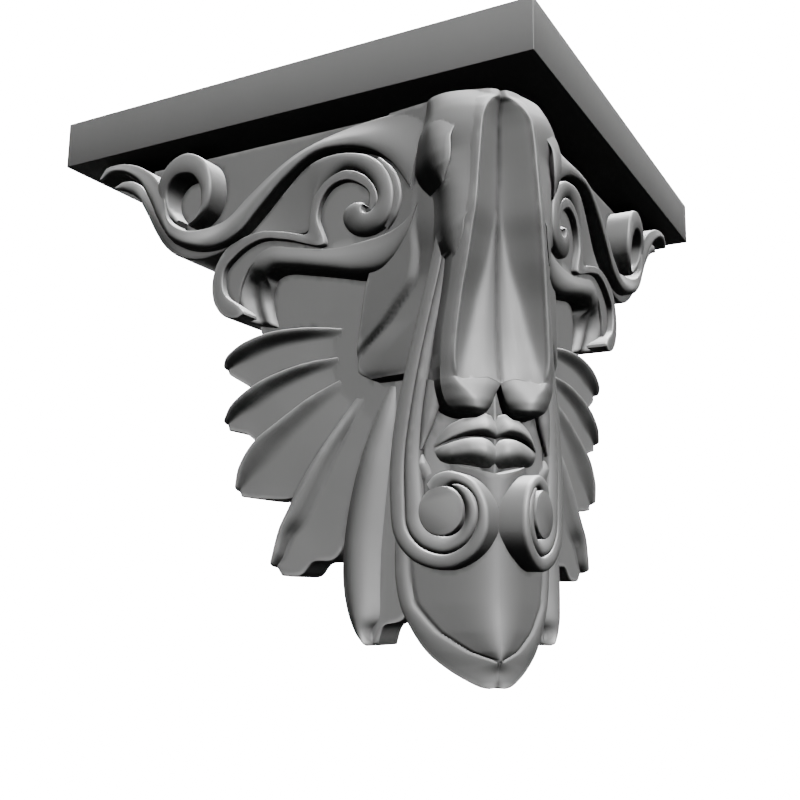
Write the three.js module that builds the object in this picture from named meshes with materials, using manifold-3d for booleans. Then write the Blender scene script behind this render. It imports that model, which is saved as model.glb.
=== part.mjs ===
// Carved corner bracket: a square slab on an L-shaped leaf carving for the outer corner of a wall.
// Millimetres, +Z up. The origin is the fixing point on the flat back of the left wing.

import * as THREE from 'three';
import { mergeVertices } from 'three/addons/utils/BufferGeometryUtils.js';
import Module from 'manifold-3d';

const wasm = await Module();
wasm.setup();

// Driving dimensions.
// In the carving's own measure s runs along a wing away from the slab's front corner, d runs back
// from the slab's face and z runs up from the slab's underside. Both wings have the same carving.
const SLAB_SIDE = 260;
const SLAB_THICK = 24;
const JOINT_GAP = 0.3;
const BACK = 50;
const INNER_BED = 46;
const FIX_ALONG = 110;
const FIX_DOWN = 60;

// Depths of the carving's main levels behind the slab's face.
const GROUND = 25;
const PLINTH = 21.5;
const RIBBON_FACE = 21;
const LEAF_FLOOR = 24.5;
const FAN_GROUND = 37;
const STRAP_FACE = 16;

// Scroll sizes: the volute at the strap's foot and the ring on the upper scroll.
const VOLUTE = { s: 48.5, z: -181.5, disc: 9.8 };
const RING = { s: 190.8, z: -21 };

// Sections across a member: q goes from its first edge to its second, swell is its height there.
const flat = () => 0;
const roll = (q, swell) => swell * Math.sin(Math.PI * q);
const plump = (q, swell) => swell * Math.sin(Math.PI * q) ** 0.5;
const lowCrest = (q, swell) => swell * Math.sin(Math.PI * q ** 1.7);

const BEADS = 2;
const beaded = (q, swell) => swell * Math.abs(Math.sin(Math.PI * BEADS * q)) ** 0.7;

// A feather has a rounded quill along its first edge, then a valley that rises to its second edge.
const QUILL = 0.42;
function feather(q, swell) {
  if (q < QUILL) {
    return swell * Math.sin(Math.PI * q / QUILL);
  }
  return -0.5 * swell * Math.sin(Math.PI * (q - QUILL) / (1 - QUILL));
}

// The leaf body is level at first, then rounded down to its second edge; a negative swell makes a hollow.
const LEVEL_SHARE = 0.35;
function roundedUnder(q, swell) {
  if (swell <= 0) {
    return swell * Math.sin(Math.PI * q);
  }
  const turn = Math.max(q - LEVEL_SHARE, 0) / (1 - LEVEL_SHARE);
  return -swell * (1 - Math.sqrt(1 - 0.98 * turn * turn));
}

// The chin shield has a raised rim, then a field that turns into the corner; the swell is the rim's share
// of the width.
const RIM_HEIGHT = 0.9;
const FIELD_TURN = 4.4;
function rimmed(q, share) {
  const rim = RIM_HEIGHT * Math.sin(Math.PI * Math.min(q / share, 1)) ** 0.45;
  const field = Math.max(q - share, 0) / (1.001 - share);
  return rim + FIELD_TURN * (q - field ** 7);
}

// Straight run between the values of neighbouring stations.
function between(values, t) {
  const place = t * (values.length - 1);
  const first = Math.min(Math.floor(place), values.length - 2);
  return THREE.MathUtils.lerp(values[first], values[first + 1], place - first);
}

// Places a point of the carving: on a wing, or on the corner leaf, which is set on the diagonal.
const onWing = (s, d, z) => new THREE.Vector3(-s, d, z);
const onCorner = (u, v, z) => onWing((v + u) / Math.SQRT2, (v - u) / Math.SQRT2, z);
const wingBed = () => BACK;
const innerBed = () => INNER_BED;

// The corner's back stays behind the flat backs of both wings.
const CORNER_BED = 62;
const BED_SLOPE = 45;
const cornerBed = (u) => Math.max(CORNER_BED, u + BED_SLOPE);

// The chin's back slopes forward to its tip.
const CHIN_TIP = -253.3;
const CHIN_THIN = 34;
const CHIN_FULL = -226;
function chinBed(s, z) {
  return THREE.MathUtils.lerp(CHIN_THIN, BACK, THREE.MathUtils.smoothstep(z, CHIN_TIP, CHIN_FULL));
}

// Leaves out triangles that have closed up to a line.
function fullTriangles(index) {
  const kept = [];
  for (let i = 0; i < index.length; i += 3) {
    const [a, b, c] = index.slice(i, i + 3);
    if (a !== b && b !== c && c !== a) {
      kept.push(a, b, c);
    }
  }
  return new Uint32Array(kept);
}

// Turns a three.js geometry into a closed solid whose faces point out.
function solidOf(geometry) {
  geometry.deleteAttribute('normal');
  geometry.deleteAttribute('uv');
  const merged = mergeVertices(geometry, 1e-5);
  const triVerts = fullTriangles(merged.index.array);
  const vertProperties = new Float32Array(merged.attributes.position.array);
  const corner = (i) => new THREE.Vector3().fromArray(vertProperties, 3 * triVerts[i]);
  let volume = 0;
  for (let i = 0; i < triVerts.length; i += 3) {
    volume += corner(i).dot(corner(i + 1).cross(corner(i + 2)));
  }
  if (volume < 0) {
    for (let i = 0; i < triVerts.length; i += 3) {
      [triVerts[i], triVerts[i + 1]] = [triVerts[i + 1], triVerts[i]];
    }
  }
  return new wasm.Manifold(new wasm.Mesh({ numProp: 3, vertProperties, triVerts }));
}

// Bends a block into a carved member with a flat bed behind it. The member's two edges run through its
// stations, each written as [first edge along, up, depth, second edge along, up, depth, swell].
function member(stations, section, along, across, bed = innerBed, place = onWing) {
  const edge = (from) => new THREE.CatmullRomCurve3(
    stations.map((row) => new THREE.Vector3(row[from], row[from + 1], row[from + 2])),
  );
  const first = edge(0);
  const second = edge(3);
  const swells = stations.map((row) => row[6]);
  const block = new THREE.BoxGeometry(1, 1, 1, along, across, 1);
  const position = block.attributes.position;
  for (let i = 0; i < position.count; i += 1) {
    const t = position.getX(i) + 0.5;
    const inFront = position.getZ(i) > 0;
    const across01 = position.getY(i) + 0.5;
    const q = inFront ? across01 : Math.round(across01);
    const point = first.getPoint(t).lerp(second.getPoint(t), q);
    const depth = inFront ? point.z - section(q, between(swells, t), t) : bed(point.x, point.y);
    const placed = place(point.x, depth, point.y);
    position.setXYZ(i, placed.x, placed.y, placed.z);
  }
  return solidOf(block);
}

// Flat ground under the slab, cut along the scroll that crosses it.
function spandrel() {
  const OUTLINE = [
    [30, -62], [70, -52], [100, -32], [132, -27], [168, -46], [194, -46], [210, -28], [222, -11],
  ];
  const stations = OUTLINE.map(([s, z]) => [s, 1, GROUND, s, z, GROUND, 0]);
  return member(stations, flat, 7, 1, wingBed);
}

// Thin plinth that shows along the scroll's outer edge.
function scrollPlinth() {
  const stations = [
    [239.5, -9.6, 14.5, 239, -10.8, 14.5, 0.2],
    [233.5, -7.8, 14.2, 231, -13.8, 14.5, 1],
    [225, -9.5, 14.5, 222.8, -19, 15, 1.2],
    [216, -17.5, 16, 217, -28.5, 16.5, 1.2],
    [207, -27, 18, 213.5, -36.5, 18.5, 1],
    [198, -38, 20, 208.5, -44.5, 20.5, 0.8],
    [190, -43, PLINTH, 200, -51, PLINTH, 0.5],
    [180, -45, PLINTH, 185, -55, PLINTH, 0.5],
    [170, -44, PLINTH, 171, -53, PLINTH, 0.5],
    [160, -40, PLINTH, 160, -47, PLINTH, 0.5],
  ];
  return member(stations, roll, 10, 2, wingBed);
}

// Long S-shaped scroll, from the tail at the slab's far end to the cheek beside the leaf.
function longScroll() {
  const stations = [
    [245.2, -5, 9.5, 244.8, -7, 9.8, 0.2],
    [241.5, -1, 9.2, 238.4, -5, 9.8, 0.8],
    [234.7, 0, 9.2, 233.5, -4.8, 9.8, 1.2],
    [225, -1.3, 9.8, 225.5, -7.4, 10.4, 1.4],
    [216, -5.3, 11.2, 218.4, -13.2, 11.8, 1.4],
    [209.5, -11, 12.8, 212.9, -23, 13.6, 1.3],
    [204.5, -20, 13.4, 206.8, -35, 14.6, 1.2],
    [200.8, -34, 13.4, 198, -46, 15.5, 1.2],
    [190, -41, 15, 186, -51, 15.8, 1.8],
    [174, -37, 22.5, 172, -51.8, 16, 2.6],
    [160, -25, GROUND, 158, -47, 16, 3],
    [147, -16, GROUND, 147, -37, 16, 3],
    [133, -8.5, GROUND, 132, -24, 16, 3],
    [118, -4, GROUND, 116, -15.3, 16, 3],
    [103, -2, 24, 102, -14.6, 16.2, 2.6],
    [88, -1, 23, 87, -18.3, 16.8, 2.4],
    [72, -1, 22, 76, -26, 18, 2],
    [58, -2, 21, 66, -40, 19, 1.5],
  ];
  return member(stations, lowCrest, 23, 3, wingBed);
}

// Ring that rises from the scroll below the slab. Each row is an angle from the wing's far side over the
// top, with the ring's outer and inner radius and its depth there.
function ringCurl() {
  const TURN = [
    [-30, 17.5, 12.5, 15],
    [10, 18.7, 11.4, 13],
    [50, 19.2, 9.8, 11.6],
    [90, 19.6, 8.6, 11],
    [135, 18.6, 9.2, 11],
    [180, 17.4, 10.9, 11.6],
    [215, 18, 13.5, 12.8],
    [240, 18, 15.6, 14],
    [264, 17.8, 16.8, 15.5],
  ];
  const stations = TURN.map(([degrees, outer, inner, depth]) => {
    const angle = THREE.MathUtils.degToRad(degrees);
    const alongArm = Math.cos(angle);
    const upArm = Math.sin(angle);
    return [
      RING.s + outer * alongArm, RING.z + outer * upArm, depth + 0.8,
      RING.s + inner * alongArm, RING.z + inner * upArm, depth + 0.2, 0.8,
    ];
  });
  return member(stations, roll, 15, 2);
}

// Flat ribbon that edges the leaf's lobe and winds into the spiral.
function ribbon() {
  const stations = [
    [156.8, -86.4, 157, -85],
    [161, -88.2, 158.5, -83.3],
    [169, -86, 162.5, -80],
    [175.3, -78.5, 168.3, -75.5],
    [177, -68, 170.5, -68.5],
    [174.5, -59, 169.5, -62.5],
    [168.5, -51.5, 163.5, -56.8],
    [158, -47.4, 156, -52.6],
    [147.8, -46.3, 147, -50.6],
    [134, -48.8, 133, -53.2],
    [123, -51.8, 114, -58.8],
    [121.4, -51, 112, -57.8],
    [121, -44, 116.3, -44.5],
    [118.5, -34.5, 114.5, -36.5],
    [110.5, -26, 109.3, -30.7],
    [101, -24, 101.5, -29],
    [91, -28.5, 93.5, -32.5],
    [85.3, -36, 89, -37],
    [84, -42, 88.3, -41],
    [86.5, -46.5, 88.5, -44.5],
  ].map(([s1, z1, s2, z2]) => [s1, z1, RIBBON_FACE, s2, z2, RIBBON_FACE, 0]);
  return member(stations, flat, 27, 1);
}

// Roll that grows out of the hollow between scroll and ribbon and winds to the spiral's eye.
function spiralRoll() {
  const stations = [
    [165, -48, 23, 163, -49.6, 22.4, 0],
    [150, -39, 24, 150, -47, 22.4, 0],
    [137, -28, 23, 133, -50.5, 22.4, 0],
    [123, -18, 21.5, 121.6, -50, 22.4, 0.2],
    [112, -15.5, 20.5, 117, -33, 22, 1],
    [100, -16, 20.5, 102, -24, 21.6, 1.5],
    [88, -20, 20.7, 92, -28, 21.6, 1.8],
    [79.5, -28, 21, 86, -35, 21.6, 2],
    [75.5, -38, 21, 84, -41, 21.4, 2],
    [76.5, -48, 21.3, 85.5, -45, 21, 2],
    [81, -54.5, 21.6, 88, -46.8, 20.7, 1.9],
    [90, -57.3, 22, 90, -47, 20.3, 1.7],
    [98, -55, 22.3, 91, -46.5, 20, 1.5],
    [102.7, -48.5, 22.6, 91.5, -45.5, 19.8, 1.4],
    [102.3, -43, 23, 91.6, -44.5, 19.7, 1.3],
    [98, -40.2, 23.4, 91.3, -43.5, 19.7, 1.1],
    [94, -40, 23.8, 90.5, -43, 20, 0.6],
  ];
  return member(stations, plump, 22, 2);
}

// Lower band that follows the spiral roll on its inner side.
function rollBorder() {
  const stations = [
    [84, -20.5, 22, 88, -24, 22, 0],
    [78.3, -25.8, 21.8, 83, -29, 21.8, 1],
    [74, -32, 21.8, 80, -34, 21.8, 1],
    [71.8, -41, 21.8, 78, -41, 21.8, 1],
    [74.3, -50.5, 22, 80, -48, 22, 1],
    [79, -56, 22.4, 83, -52, 22.4, 0],
  ];
  return member(stations, plump, 6, 2);
}

// Smooth ground beside the corner. Below the slot a fold crosses it down to its lower corner: a valley that
// is short on the side of the ground and long on the side of the folded sheet.
function cheek() {
  const FOLD_LINE = [0.48, 0.48, 0.48, 0.48, 0.6, 0.63, 0.345, 0.05, -0.05, -0.1];
  const NEAR_SIDE = 0.14;
  const FAR_SIDE = 0.4;
  const stations = [
    [80, 1, 22.5, 48, 1, 19, 0],
    [79, -18, 22.8, 48, -20, 18.5, 0],
    [77, -36, 23, 48, -40, 18, 0],
    [79, -52, 23.4, 48, -56, 18.2, 0.6],
    [86, -66, 24.4, 48, -70, 19, 1.6],
    [91, -77, 25, 49, -80, 19.6, 2.2],
    [95, -98, 26, 53, -99, 20.5, 2.4],
    [97, -111, 27, 57, -112, 21, 1.6],
    [96.3, -119, 27.5, 58, -119, 21.2, 0.6],
    [90, -122.8, 27.6, 59, -122.6, 21.3, 0],
  ];
  const crease = (q, depth, t) => {
    const beside = q - between(FOLD_LINE, t);
    const away = beside < 0 ? -beside / NEAR_SIDE : beside / FAR_SIDE;
    return -depth * Math.max(1 - away, 0) ** 1.3;
  };
  return member(stations, crease, 9, 5, wingBed);
}

// Floor inside the spiral and the lobe.
function leafFloor() {
  const OUTLINE = [
    [172, -66, -72], [168, -58, -78], [164, -55, -82], [161, -53, -70], [155, -51, -61], [140, -49, -60],
    [122, -46, -63], [104, -22, -66], [84, -26, -66], [62, -34, -62],
  ];
  const stations = OUTLINE.map(([s, top, foot]) => [s, top, LEAF_FLOOR, s, foot, LEAF_FLOOR, 0]);
  return member(stations, flat, 9, 1, wingBed);
}

// Leaf body above the slot; it bends round the slot's end and runs down to the lobe's lower edge.
function leafBody() {
  const stations = [
    [160.5, -87.5, 33, 154.5, -88, 37, -1],
    [162, -80.5, 28, 154.5, -80.5, 35, -1.5],
    [162.5, -74, 25.5, 153.8, -74.5, 32, -1.2],
    [162, -67, 24.6, 152.5, -69.5, 28.5, -0.5],
    [157, -59, 24.6, 149, -66, 24, 1.5],
    [145, -53.5, 24.6, 142, -64.7, 21.8, 5],
    [130, -56, 24.6, 129, -66.8, 21, 6],
    [113, -59, 24.6, 111, -70.7, 20, 6],
    [100, -59, 24.6, 96, -74, 19.5, 6],
    [84, -58, 23.5, 84, -74, 20.3, 5],
    [75, -56, 22.3, 77, -70, 21, 3.5],
    [69, -53, 21.4, 71, -63, 21, 2],
    [65, -49, 20.9, 67, -56, 20.8, 0.8],
    [63, -46, 20.6, 64.5, -50, 20.6, 0.2],
  ];
  return member(stations, roundedUnder, 15, 3);
}

// Low ground between the feathers and behind the slot.
function fanGround() {
  const OUTLINE = [
    [157, -76, -91], [150, -62, -110], [140, -60, -130], [128, -62, -148], [112, -64, -165], [96, -66, -200],
    [80, -66, -226], [58, -66, -232],
  ];
  const stations = OUTLINE.map(([s, top, foot]) => [s, top, FAN_GROUND, s, foot, FAN_GROUND, 0]);
  return member(stations, flat, 7, 1, wingBed);
}

// The last feather has a broad quill with a narrow level flank beside it.
const BROAD_QUILL = 0.7;
const roundFeather = (q, swell) => 1.6 * swell * Math.sin(Math.PI * Math.min(q / BROAD_QUILL, 1));

// Fan of feathers. Each has the line of its quill edge, then the line of its under edge, which the next
// feather's quill covers as far as the notch beside the tip.
function feathers() {
  const FEATHERS = [
    [[[110.9, -94.8], [130, -93], [150, -93.8], [165, -98], [174, -104], [176.3, -109]],
      [[112, -108], [128, -112.5], [143, -117], [156, -121], [166, -116.5], [175, -111.5]]],
    [[[112.9, -108.4], [130, -110.5], [148, -115.5], [160, -121], [170, -128.3], [175, -136]],
      [[110, -121.5], [123, -128.5], [137, -137], [153.5, -147], [161, -142.8], [173.5, -139.8]]],
    [[[111.9, -119.6], [126, -127], [142, -137.5], [156, -147.5], [163.5, -158.5], [166.3, -169]],
      [[101, -130.5], [110, -143], [119, -156], [131, -173], [148, -174.2], [164.5, -172.3]]],
    [[[102.8, -128.7], [111, -139.5], [120, -151.5], [128, -163.5],
      [134.5, -176], [138.5, -186], [141, -196], [141.8, -204]],
      [[88, -132], [94.5, -150], [99, -168], [103, -188], [110, -202],
      [121, -203.5], [127, -209.3], [138, -209.4]]],
    [[[84.7, -124.5], [91, -137], [98, -155], [103, -175], [105.6, -197],
      [105, -213], [101.4, -226.3], [96.6, -234.7], [91.5, -238.8]],
      [[79, -126], [75, -145], [73, -165], [72, -185],
      [72, -202], [72, -215], [74.4, -227.5], [83, -230], [86.5, -238.6]]],
  ];
  const DEPTHS = [37.2, 35.8, 34.8, 34.4, 34.4];
  const SWELLS = [0.4, 2.6, 3.3, 3.3, 2.2];
  return FEATHERS.map(([quill, under], number) => {
    const last = quill.length - 1;
    const stations = quill.map(([s, z], i) => {
      const depth = between(DEPTHS, i / last);
      return [s, z, depth, ...under[i], depth + 0.3, between(SWELLS, i / last)];
    });
    const isLast = number === FEATHERS.length - 1;
    return member(stations, isLast ? roundFeather : feather, last + 1, 4, wingBed);
  });
}

// Strap from beside the leaf down to the volute: a broad outer band with two beads inside it, wound round a
// flat button. Each row of the turn is an angle from the wing's far side downwards, with the radius of the
// band's outer edge, the radius of the groove beside it and the height of the beads there.
function strap() {
  const TURN = [
    [-8, 24.6, 17.5, 1.8],
    [30, 24.8, 17.6, 1.8],
    [60, 24.8, 17.6, 1.8],
    [95, 24.6, 17.4, 1.7],
    [130, 23.2, 16, 1.6],
    [160, 21.6, 14.6, 1.4],
    [190, 19.8, 13, 1.2],
    [220, 18.2, 11.6, 0.9],
    [250, 16.5, 10.2, 0.4],
    [280, 14.8, 8.6, 0],
  ];
  const band = [
    [51, -46, 19, 46, -47, 18, 0.4],
    [55, -74, 18.4, 49.5, -76, 17.4, 0.8],
    [60, -95, 18, 54, -96, 17.2, 1.2],
    [66, -120, 17.6, 59.5, -120, 17.2, 1.4],
    [70.5, -140, 17.4, 63.5, -141, 17.2, 1.4],
    [73, -160, 17.4, 66, -160, 17.2, 1.4],
  ];
  const beads = [
    [46.4, -47, 18, 40, -48, 14, 0.6],
    [49.9, -76, 17.4, 41, -78, 15, 1],
    [54.4, -96, 17.4, 45, -97, 15.8, 1.6],
    [59.9, -120, 17.4, 49.5, -120, 16.8, 1.8],
    [63.9, -141, 17.4, 52.5, -142, 17.3, 1.8],
    [66.4, -160, 17.4, 56.5, -158, 17.8, 1.8],
  ];
  TURN.forEach(([degrees, outer, groove, swell]) => {
    const angle = THREE.MathUtils.degToRad(degrees);
    const alongArm = Math.cos(angle);
    const downArm = Math.sin(angle);
    const edge = (radius, depth) => [
      VOLUTE.s + radius * alongArm, VOLUTE.z - radius * downArm, STRAP_FACE + depth,
    ];
    band.push([...edge(outer, 1.2), ...edge(groove, 1.2), 1.4]);
    beads.push([...edge(groove + 0.4, 1.6), ...edge(VOLUTE.disc, 1.8), swell]);
  });
  return [member(band, plump, 26, 2), member(beads, beaded, 26, 4)];
}

function voluteButton() {
  const radius = VOLUTE.disc + 0.2;
  const face = STRAP_FACE - 0.5;
  const button = new THREE.CylinderGeometry(radius, radius, INNER_BED - face, 20);
  button.translate(-VOLUTE.s, (INNER_BED + face) / 2, VOLUTE.z);
  return solidOf(button);
}

// Half of the chin shield, with its rim, to the ridge on the diagonal.
function chin() {
  const stations = [
    [60, -160, 25, 28, -168, 28.4, 0.15],
    [72, -182, 24.2, 28, -185, 28.4, 0.15],
    [74, -205, 24, 28, -205, 28.4, 0.15],
    [71.3, -221, 24, 28, -220, 28.4, 0.17],
    [65.3, -232, 24, 28, -231, 28.4, 0.32],
    [58.5, -240, 24, 28, -238.5, 28.4, 0.6],
    [50, -246, 24.3, 28, -242.7, 28.4, 0.98],
    [41, -250.6, 25, 28.2, -246.5, 28.6, 0.98],
    [35.5, -252.8, 26, 28.6, -250, 29, 0.98],
    [32.3, CHIN_TIP, 27, 29.2, -252.4, 29.4, 0.98],
  ];
  return member(stations, rimmed, 12, 6, chinBed);
}

// Solid corner behind the straps and the mouth.
function cornerPost() {
  const POST_SIDE = 64;
  const POST_LEAN = 5;
  const stations = [[30, -40, 29], [30, -110, 30], [31, -175, 31]]
    .map(([s, z, d]) => [s, z, d, POST_SIDE, z, d - POST_LEAN, 0]);
  return member(stations, flat, 3, 1, wingBed);
}

// Half of the tall corner leaf: its side, its rim, then the channel and its flute to the middle, and the
// rounded lobe at the foot, which a notch parts from its twin. Each row is
// [up, outer edge across, depth, rim across, depth, inner edge across, depth, swell].
function cornerLeaf() {
  const CHANNEL = [
    [1, 22, 50, 2.2, 35.5, 0, 35.4, 0],
    [-3.2, 22, 49, 2.4, 33.8, 0, 33.8, 0],
    [-6, 22, 48, 5.6, 32.2, 0, 34.4, 0],
    [-11, 21.5, 46, 9, 30.2, 0, 36, 0],
    [-17, 20, 42, 11.3, 28.8, 0, 37.2, 0],
    [-25, 19.5, 40, 12.2, 28.4, 0, 37.9, 0],
    [-41, 20, 38, 13.5, 28.3, 0, 37.8, 0],
    [-56, 21, 37, 14.6, 28.1, 0, 37.5, 0.4],
    [-68, 21.5, 37.5, 16, 29.4, 0, 39, 1.6],
    [-78, 21.5, 39.5, 17.1, 30.5, 0, 40.2, 2.4],
    [-93.5, 22.6, 42, 19, 33.3, 0, 41.2, 3],
    [-110, 25, 42, 20.5, 35, 0, 42, 4.2],
    [-120, 25.6, 42, 21, 35.7, 0, 41.2, 5.4],
    [-129.3, 25.3, 42, 20, 36.6, 0, 36.6, 2.6],
  ];
  const FOOT = [
    [-129.4, 25.3, 42, 20, 36.6, 0, 37, 0.6],
    [-133, 24.5, 42, 19.3, 36.2, 1.2, 38, 3.8],
    [-137, 23, 41.5, 18.2, 36, 2.8, 39, 4.8],
    [-140.5, 20.3, 40.5, 16.5, 36.6, 4.2, 39.5, 3.8],
    [-143, 15.8, 39.5, 13.8, 37.6, 7, 39.4, 1.2],
    [-143.7, 13, 39.2, 12, 38.6, 8.5, 39.2, 0.2],
  ];
  const CHANNEL_ROWS = 16;
  const FOOT_ROWS = 5;
  const RIM_AT = 0.375;
  const OVERLAP = -0.2;
  const FLUTE_TOP = 48;
  const FLUTE_FULL = 112;
  const LOBE_SWELL = 1.5;
  const { lerp, smoothstep, clamp } = THREE.MathUtils;

  const channelDepth = (inside, rimV, inV, swell, up) => {
    const start = lerp(1, 0.1, smoothstep(-up, FLUTE_TOP, FLUTE_FULL));
    const flute = Math.sin(Math.PI * clamp((inside - start) / (1.0001 - start), 0, 1)) ** 1.3;
    return lerp(rimV, inV, 1 - (1 - inside) ** 2.2) - swell * flute;
  };

  const pointAt = (levels, t, q) => {
    const column = (k) => between(levels.map((row) => row[k]), t);
    const [up, outU, outV, rimU, rimV, inU, inV, swell] = levels[0].map((value, k) => column(k));
    const side = Math.min(q / RIM_AT, 1);
    const inside = Math.max(q - RIM_AT, 0) / (1 - RIM_AT);
    const u = inside > 0 ? lerp(rimU, inU + OVERLAP, inside) : lerp(outU, rimU, side);
    const sideV = lerp(outV, rimV, Math.sin(side * Math.PI / 2));
    if (levels === CHANNEL) {
      return [u, inside > 0 ? channelDepth(inside, rimV, inV, swell, up) : sideV, up];
    }
    const part = clamp((outU - u) / (outU - inU), 0, 1);
    const lobe = lerp(outV, inV, part) - LOBE_SWELL * swell * Math.sin(Math.PI * part) ** 0.75;
    const top = inside > 0 ? lerp(rimV, inV, inside) - swell * Math.sin(Math.PI * inside) : sideV;
    return [u, lerp(top, lobe, smoothstep(-up, -FOOT[0][0], -FOOT[1][0])), up];
  };

  const rows = CHANNEL_ROWS + 1 + FOOT_ROWS;
  const block = new THREE.BoxGeometry(1, 1, 1, rows, 8, 1);
  const position = block.attributes.position;
  for (let i = 0; i < position.count; i += 1) {
    const row = Math.round((position.getX(i) + 0.5) * rows);
    const inFront = position.getZ(i) > 0;
    const across = position.getY(i) + 0.5;
    const q = inFront ? across : Math.round(across);
    const [u, v, z] = row > CHANNEL_ROWS
      ? pointAt(FOOT, (row - CHANNEL_ROWS - 1) / FOOT_ROWS, q)
      : pointAt(CHANNEL, row / CHANNEL_ROWS, q);
    const placed = onCorner(u, inFront ? v : cornerBed(u), z);
    position.setXYZ(i, placed.x, placed.y, placed.z);
  }
  return solidOf(block);
}

// Two leaves that lap over each other down the side of the tall leaf.
function sideLeaves() {
  const upper = [
    [28.6, -12, 44.4, 9.4, -11, 30.8, 3.8],
    [30.5, -19, 38, 11.7, -17, 29.2, 2],
    [31.2, -26, 35.5, 13.7, -22.5, 29.2, 0.8],
    [31, -33, 35.3, 22.5, -28.5, 32.2, 0.3],
    [29.5, -39, 35.8, 23.9, -36, 33.4, 0.4],
    [26, -45.8, 37.2, 25.4, -45.2, 37, 0],
  ];
  const lower = [
    [27, 1, 56, 2.6, 1, 35.7, 6],
    [27.6, -6, 50, 5.2, -5, 32.9, 5.5],
    [28.6, -12, 44, 9.4, -11, 30.4, 4],
    [30, -19, 39, 11.7, -17, 29.1, 2.4],
    [28.5, -31, 38.5, 13, -29.5, 28.6, 1.8],
    [26, -40, 38, 13.6, -39, 28.5, 1.8],
    [24.2, -48, 36.5, 14.3, -47.5, 28.4, 1.2],
    [24, -55, 35, 14.9, -54, 28.4, 0.6],
    [24.3, -62, 34.6, 15.6, -58, 28.9, 0.2],
    [24, -67, 34.6, 18.5, -62.5, 30.2, 0.2],
    [23.3, -72.5, 35, 19, -69, 31.2, 0.3],
    [21.6, -78.3, 36.2, 21.1, -77.8, 36, 0],
  ];
  return [upper, lower].map((stations) => {
    const steps = stations.length - 1;
    return member(stations, roll, steps, 2, cornerBed, onCorner);
  });
}

// Half of the face behind the lips, and the two lips.
function face() {
  const stations = [
    [30, -120, 60, -0.2, -120, 47, 1],
    [30, -146, 60, -0.2, -146, 46.5, 1],
    [30, -163, 60, -0.2, -163, 46.5, 1],
    [30, -176, 60, -0.2, -176, 41.5, 1],
    [30, -186, 60, -0.2, -186, 41.5, 1],
  ];
  return member(stations, roll, 4, 3, cornerBed, onCorner);
}

function upperLip() {
  const stations = [
    [23.6, -155, 54.5, 23.2, -156.5, 54.5, 0],
    [18, -147.2, 50.5, 18, -153.6, 48, 2],
    [11, -143.6, 46, 11, -151.6, 43.2, 3],
    [5, -142, 44, 5, -151.4, 41.6, 3],
    [-0.2, -143.4, 44.4, -0.2, -153, 42.6, 2],
  ];
  return member(stations, lowCrest, 6, 3, cornerBed, onCorner);
}

function lowerLip() {
  const stations = [
    [23.2, -157, 54.5, 21.5, -161.5, 54, 0.4],
    [18, -154.6, 50, 18, -163, 50.5, 3],
    [11, -152.6, 46, 11, -163.5, 47, 4],
    [5, -152.4, 44.6, 5, -164.6, 45, 4],
    [-0.2, -154, 45, -0.2, -165.2, 45.4, 3],
  ];
  return member(stations, roll, 6, 3, cornerBed, onCorner);
}

// Leaf slivers beside the mouth, above and below its corner.
function mouthLeaves() {
  const above = [
    [27.5, -128, 50, 21, -131, 48, 1],
    [29, -143, 52, 23.5, -145, 51, 1.5],
    [29.5, -157, 54.5, 28, -157.5, 54.5, 0.5],
  ];
  const below = [
    [32, -156, 55, 30.5, -157, 55, 0.5],
    [32, -163, 56, 26, -161, 55, 1.2],
    [28, -170, 56, 23, -166, 55, 0.8],
  ];
  return [above, below].map((stations) => member(stations, roll, 4, 2, cornerBed, onCorner));
}

// The slab is a plain block; its underside lies at the carving's zero height.
function slab() {
  const block = new THREE.BoxGeometry(SLAB_SIDE, SLAB_SIDE, SLAB_THICK);
  return block.translate(-SLAB_SIDE / 2, SLAB_SIDE / 2, SLAB_THICK / 2);
}

// Open geometry of a solid.
function geometryOf(solid) {
  const mesh = solid.getMesh();
  const geometry = new THREE.BufferGeometry();
  geometry.setAttribute('position', new THREE.BufferAttribute(new Float32Array(mesh.vertProperties), 3));
  geometry.setIndex(new THREE.BufferAttribute(new Uint32Array(mesh.triVerts), 1));
  return geometry;
}

// Twin of a solid, reflected in the diagonal between the two wings.
function reflected(solid) {
  const swap = new THREE.Matrix4().set(0, -1, 0, 0, -1, 0, 0, 0, 0, 0, 1, 0, 0, 0, 0, 1);
  const geometry = geometryOf(solid).applyMatrix4(swap);
  const vertProperties = geometry.attributes.position.array;
  const triVerts = geometry.index.array;
  for (let i = 0; i < triVerts.length; i += 3) {
    [triVerts[i], triVerts[i + 1]] = [triVerts[i + 1], triVerts[i]];
  }
  return new wasm.Manifold(new wasm.Mesh({ numProp: 3, vertProperties, triVerts }));
}

// Joins one wing with its half of the corner, then sets its mirror image beside it.
function carving() {
  const half = [
    spandrel(), scrollPlinth(), longScroll(), ringCurl(), ribbon(), spiralRoll(), rollBorder(), cheek(),
    leafFloor(), leafBody(), fanGround(), ...feathers(), ...strap(), voluteButton(), chin(),
    cornerPost(), cornerLeaf(), ...sideLeaves(), face(), upperLip(), lowerLip(), ...mouthLeaves(),
  ].reduce((whole, piece) => whole.add(piece));
  const above = new THREE.BoxGeometry(4 * SLAB_SIDE, 4 * SLAB_SIDE, SLAB_THICK);
  above.translate(0, 0, SLAB_THICK / 2 - JOINT_GAP);
  const geometry = geometryOf(half.add(reflected(half)).subtract(solidOf(above)));
  geometry.computeVertexNormals();
  return geometry;
}

const PAINT_GREY = 0x767676;
const paint = new THREE.MeshStandardMaterial({ color: PAINT_GREY, roughness: 0.5, metalness: 0 });

const topSlab = new THREE.Mesh(slab(), paint);
topSlab.name = 'top_slab';

const carvedBracket = new THREE.Mesh(carving(), paint.clone());
carvedBracket.name = 'carved_bracket';

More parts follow.
